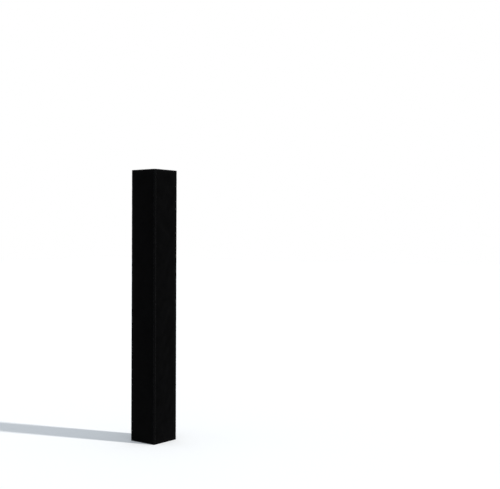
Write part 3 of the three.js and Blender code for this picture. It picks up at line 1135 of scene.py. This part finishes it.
# The flap's outer face as a depth: level on the tape, a smooth ramp down to the hem, soft waves, and a
# shallow pull along each stitch line.
def flapDepth(x, z):
    shape = flapShape
    ramp = smooth((foldEnd - x) / (foldEnd - rampTop))
    held = smooth(np.abs(x - rampTop) / shape["rampReach"])
    onFlap = smooth((foldEnd - x) / (7 * mm))
    loose = softNoise(x * 0.6, z, 91, *shape["rampLengths"]) * shape["rampWaves"] * (1 - held) * onFlap
    free = smooth((hookInner - x + 12 * mm) / (14 * mm))
    edge = softNoise(x * 0.4, z, 97, *shape["waveLengths"]) * shape["waves"] * between(0.25, 1, free)
    edge = np.where(x < hookOuter + 2 * mm, edge * smooth((foldEnd - x) / (16 * mm)), 0)
    pull, reach = shape["stitchPull"]
    pulls = sum(bell(x - line, reach) for line in flapStitches + hemStitches) * pull
    depth = between(hemFace, flapFace, ramp) - np.abs(loose) * 0.6
    return depth + np.clip(edge, *shape["waveLimits"]) + pulls


# Five columns across the groove of a stitch line.
def overStitches(line):
    return line + flapShape["groove"] * np.linspace(-1, 1, 5)


# The flap's middle layer runs back under its free edge, round a small half turn and over the face to the
# hem, and each side of the vinyl lies half its thickness off it.
def addFlap():
    half = vinyl / 2
    turn = flapShape["turnRadius"]
    inner, outer, edge = flapStitches
    faceX = np.concatenate([
        np.linspace(flapEdge + turn + half, edge - flapShape["groove"], 3, endpoint=False),
        overStitches(edge),
        overStitches(inner),
        np.linspace(inner + 4 * mm, outer - 4 * mm, 7),
        overStitches(outer),
        np.linspace(hookOuter + 1 * mm, foldEnd, 13),
        np.linspace(foldEnd, foldStart, 7)[1:],
        overStitches(hemStitches[0]),
        np.linspace(hemStitches[0] + 5 * mm, hemStitches[1] - 5 * mm, 3),
        overStitches(hemStitches[1]),
        [hemEnd - 1 * mm, hemEnd],
    ])
    low, high = flapBox[0].z, flapBox[1].z
    rows = np.linspace(low, high, round((high - low) / flapShape["rowStep"]))[:, None]
    face = flapDepth(faceX, rows) + half
    edgeDepth = face[:, :1]
    angle = np.linspace(np.pi, 0, 7)[:-1]
    backX = np.linspace(faceX[0] + flapShape["hemReturn"], faceX[0], 5)[:-1]
    path = np.concatenate([
        gridPoints(backX, edgeDepth + 2 * turn),
        gridPoints(faceX[0] - turn * np.sin(angle), edgeDepth + turn - turn * np.cos(angle)),
        gridPoints(faceX, face),
    ], 1)
    offset = squareTo(np.gradient(path, axis=1)) * half
    sides = [(layer[..., 0], layer[..., 1], rows) for layer in (path + offset, path - offset)]
    along = pathLength(path[len(rows) // 2])
    toEdge = np.abs(path[..., 0] - flapEdge)
    toEnd = np.minimum(rows - low, high - rows)
    wear = np.clip(fading(toEdge, 4 * mm) + fading(toEnd, 6 * mm) + 0.15, 0, 1)
    piece = thinSheet("rear_flap", 2, sides, flapVinyl, along, rows, wear)
    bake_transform(piece)
    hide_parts("flap_hem", "flap_fold", "closure_flap")


tapeShape = {
    "rowStep": 5 * mm,
    "laneCount": 18,
    "selvedge": 2.6 * mm,
    "selvedgeHeight": 0.75 * mm,
    "sideRise": 0.9 * mm,  # width over which the pile rises beside a selvedge
    "endRise": 4 * mm,
    "hookLane": 0.35 * mm,
    "fuzz": 0.16 * mm,
    "fuzzLengths": (0.011, 0.03),
}


# A tape's pile face as a height over its back: low selvedges, then pile, in lanes for hooks and in soft
# tufts for loops.
def addTape(name, node, box, material, body, hooks):
    low, high = -box[1].x, -box[0].x
    bottom, top = box[0].z, box[1].z
    x = np.linspace(low, high, tapeShape["laneCount"] * (5 if hooks else 4) + 1)
    rows = np.linspace(bottom, top, round((top - bottom) / tapeShape["rowStep"]))[:, None]
    pileShare = smooth((np.minimum(x - low, high - x) - tapeShape["selvedge"]) / tapeShape["sideRise"])
    toEnd = np.minimum(rows - bottom, top - rows)
    pileShare = pileShare * smooth((toEnd - 1 * mm) / tapeShape["endRise"])
    pile = box[1].y - box[0].y
    if hooks:
        lanes = np.cos(2 * np.pi * (x - low) / (high - low) * tapeShape["laneCount"])
        pile = pile - tapeShape["hookLane"] * (1 - lanes) / 2
    else:
        tufts = softNoise(x, rows, 107, *tapeShape["fuzzLengths"], waves=28)
        pile = pile - tapeShape["fuzz"] * (1 + np.clip(tufts, -1, 1))
    height = between(tapeShape["selvedgeHeight"], pile, pileShare)
    back = halfOuter - box[hooks].y
    sides = [(x, depth, rows) for depth in ((back, back + height) if hooks else (back - height, back))]
    piece = thinSheet(name, 2, sides, material, x - low, rows, 1 - pileShare)
    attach(piece, body)
    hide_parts(node)


addTape("flap_hook_tape", "hook_tape", hookBox, hookPile, "closure_flap", True)
addTape("rear_loop_tape", "loop_tape", loopBox, loopPile, "rear_right_panel", False)
addFlap()
print("closure made")

# Vents

# Radius and height over the outer plane, in millimetres, from inside the bore over the lip and back
ventProfile = [
    (4.0, -1.9), (4.0, -0.6), (4.05, 0.4), (4.35, 0.85), (4.9, 1.08), (5.6, 1.1), (6.6, 0.92),
    (7.5, 0.66), (7.95, 0.4), (7.9, 0.22), (7.3, 0.2), (5.0, 0.25), (4.8, 0.1), (4.8, -1.0),
    (5.4, -1.1), (7.6, -1.1), (8.0, -1.3), (7.9, -1.7), (7.2, -1.9), (5.0, -1.95),
]
ventLip = 5.2 * mm  # radius of the lip that is rubbed bare


# An eyelet: its closed profile carried round a circle.
def addVent(node, body, side, height):
    profile = np.array(ventProfile) * (mm, -mm)
    rings = ventRings(profile, side, height)
    index = closedRound(numbered(rings))
    faces = [gridQuads(np.concatenate([index, index[:1]])[::-1])]
    piece = newPiece(node.replace("vent", "eyelet"), placed(rings, 2), faces, [ventMetal], 60)
    radius, depth = profile[:, :1], profile[:, 1:]
    angle = np.linspace(0, 2 * np.pi, rings.shape[1], endpoint=False)
    rubbed = bell(radius - ventLip, 0.9 * mm) * (depth < 0)
    setSurface(piece, gridPoints(radius, 0.0, angle * 0.005), np.broadcast_to(rubbed, rings.shape[:2]))
    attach(piece, body)
    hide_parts(node)


for panelName, side in (("rear_left", 1), ("rear_right", -1)):
    for level, height in zip(("lower", "upper"), ventHeights):
        addVent(f"{panelName}_{level}_vent", f"{panelName}_panel", side, height)
print("vents made")

# Stitching

stitchShape = {
    "pitch": 6 * mm,
    "length": 4.3 * mm,
    "width": 0.75 * mm,
    "height": 0.36 * mm,
    "sides": 5,
    "rings": np.array([(-0.86, 0.6, 0.1), (-0.45, 1.0, 0.62), (0.45, 1.0, 0.62), (0.86, 0.6, 0.1)]),
    "slant": 3.0,  # degrees
    "endMargin": 9 * mm,
}


# One stitch in across, height and along: rings, each with its place, width and level as shares, that
# narrow and sink towards both ends, and two poles.
def stitchTemplate(shape):
    place, width, level = (column[:, None] for column in shape["rings"].T)
    angle = np.linspace(0, 2 * np.pi, shape["sides"], endpoint=False) + np.pi / 2
    across = width * np.cos(angle) * shape["width"] / 2
    height = (width * np.sin(angle) * 0.5 + level - 0.25) * shape["height"]
    rings = gridPoints(across, height, place * shape["length"] / 2)
    poles = [(0, -0.45 * shape["height"], end * shape["length"] / 2) for end in (-1, 1)]
    return cappedRings(rings, poles)


# Rows of stitches as one piece. Each row has x, depths for x and z, and its lowest and highest z, all in
# the panel's own drawing, and each stitch is the template turned by a small random slant.
def addStitches(name, body, turns, lines, seed):
    pitch = stitchShape["pitch"]
    template, groups = stitchTemplate(stitchShape)
    centres = []
    for x, depthAt, low, high in lines:
        z = low + pitch * (np.arange(int((high - low) / pitch)) + 0.5)
        centres.append(gridPoints(x, depthAt(x, z), z))
    centres = np.concatenate(centres)[:, None]
    number = np.arange(len(centres))[:, None, None]
    slant = np.random.default_rng(seed).normal(0, stitchShape["slant"], len(centres))
    slant = np.radians(slant)[:, None]
    across, height, along = template.T
    x = centres[..., 0] - (across * np.cos(slant) + along * np.sin(slant))
    z = centres[..., 2] + along * np.cos(slant) - across * np.sin(slant)
    points = gridPoints(x, centres[..., 1] - height, z)
    faces = [(group + number * len(template)).reshape(-1, group.shape[1]) for group in groups]
    piece = newPiece(name, placed(points, turns), faces, [sewingThread], 80)
    setSurface(piece, template + np.array([0, 0, 0.01]) * number, np.zeros(x.shape))
    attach(piece, body)


# The face of a gusset's leg at its stitch line, and of the loop tape's selvedges.
def legDepth(x, z):
    return gussetShape["stitchPull"][0] * 0.9


def loopDepth(x, z):
    return halfOuter - loopBox[0].y - tapeShape["selvedgeHeight"] * 1.05


seamX = halfOuter - legWidth + gussetShape["stitchLine"]
padSpan = (stitchShape["endMargin"], padHeight - stitchShape["endMargin"])
flapSpan = (flapBox[0].z + 4 * mm, flapBox[1].z - 4 * mm)
tapeSpan = (loopBox[0].z + 3 * mm, loopBox[1].z - 3 * mm)
stitchLines = {
    name: [(side * seamX, legDepth, *padSpan) for side in panel["folds"]] for name, panel in panels.items()
}
stitchLines["rear_left"] += [(x, flapDepth, *flapSpan) for x in hemStitches]
stitchLines["rear_right"] += [
    (x, loopDepth, *tapeSpan) for x in (hookInner + 1.3 * mm, hookOuter - 1.3 * mm)
]
for name, lines in stitchLines.items():
    addStitches(f"{name}_stitches", f"{name}_panel", panels[name]["turns"], lines, panels[name]["seed"] + 3)
addStitches("flap_stitches", "closure_flap", 2, [(x, flapDepth, *flapSpan) for x in flapStitches], 131)
print("stitching made")
